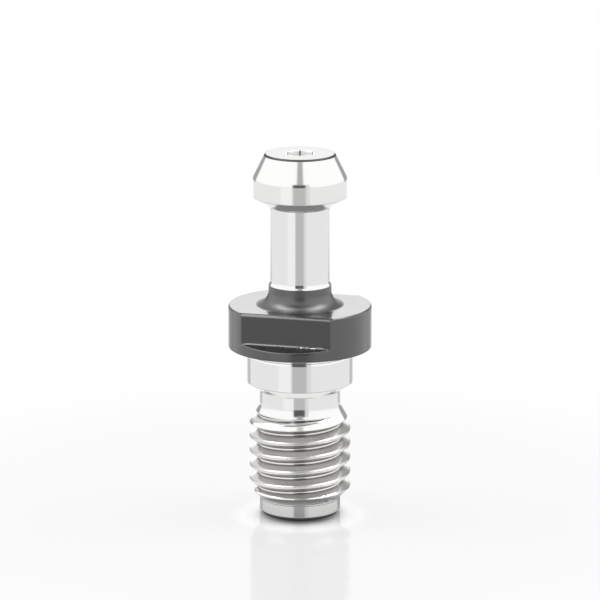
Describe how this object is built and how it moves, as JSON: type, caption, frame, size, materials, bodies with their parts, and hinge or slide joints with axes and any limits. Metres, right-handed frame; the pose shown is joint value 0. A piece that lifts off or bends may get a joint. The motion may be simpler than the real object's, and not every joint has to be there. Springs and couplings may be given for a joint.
{
  "type": "pull stud",
  "caption": "Turned steel pull stud with a conical gripping head, ground neck, black flange with wrench flats, pilot and right-hand thread.",
  "frame": {"origin": "centre of the seat face, the flange's underside, which rests on the end of the taper shank", "axes": "+Z along the stud's axis towards the gripping head; the wrench flats face +Y and -Y"},
  "size_m": [0.0168, 0.0168, 0.043],
  "materials": {
    "steel": "ground and fine-turned bright steel, with black oxide on the flange and its fillet"
  },
  "bodies": {
    "root": {"pull_stud": "steel"}
  },
  "joints": []
}
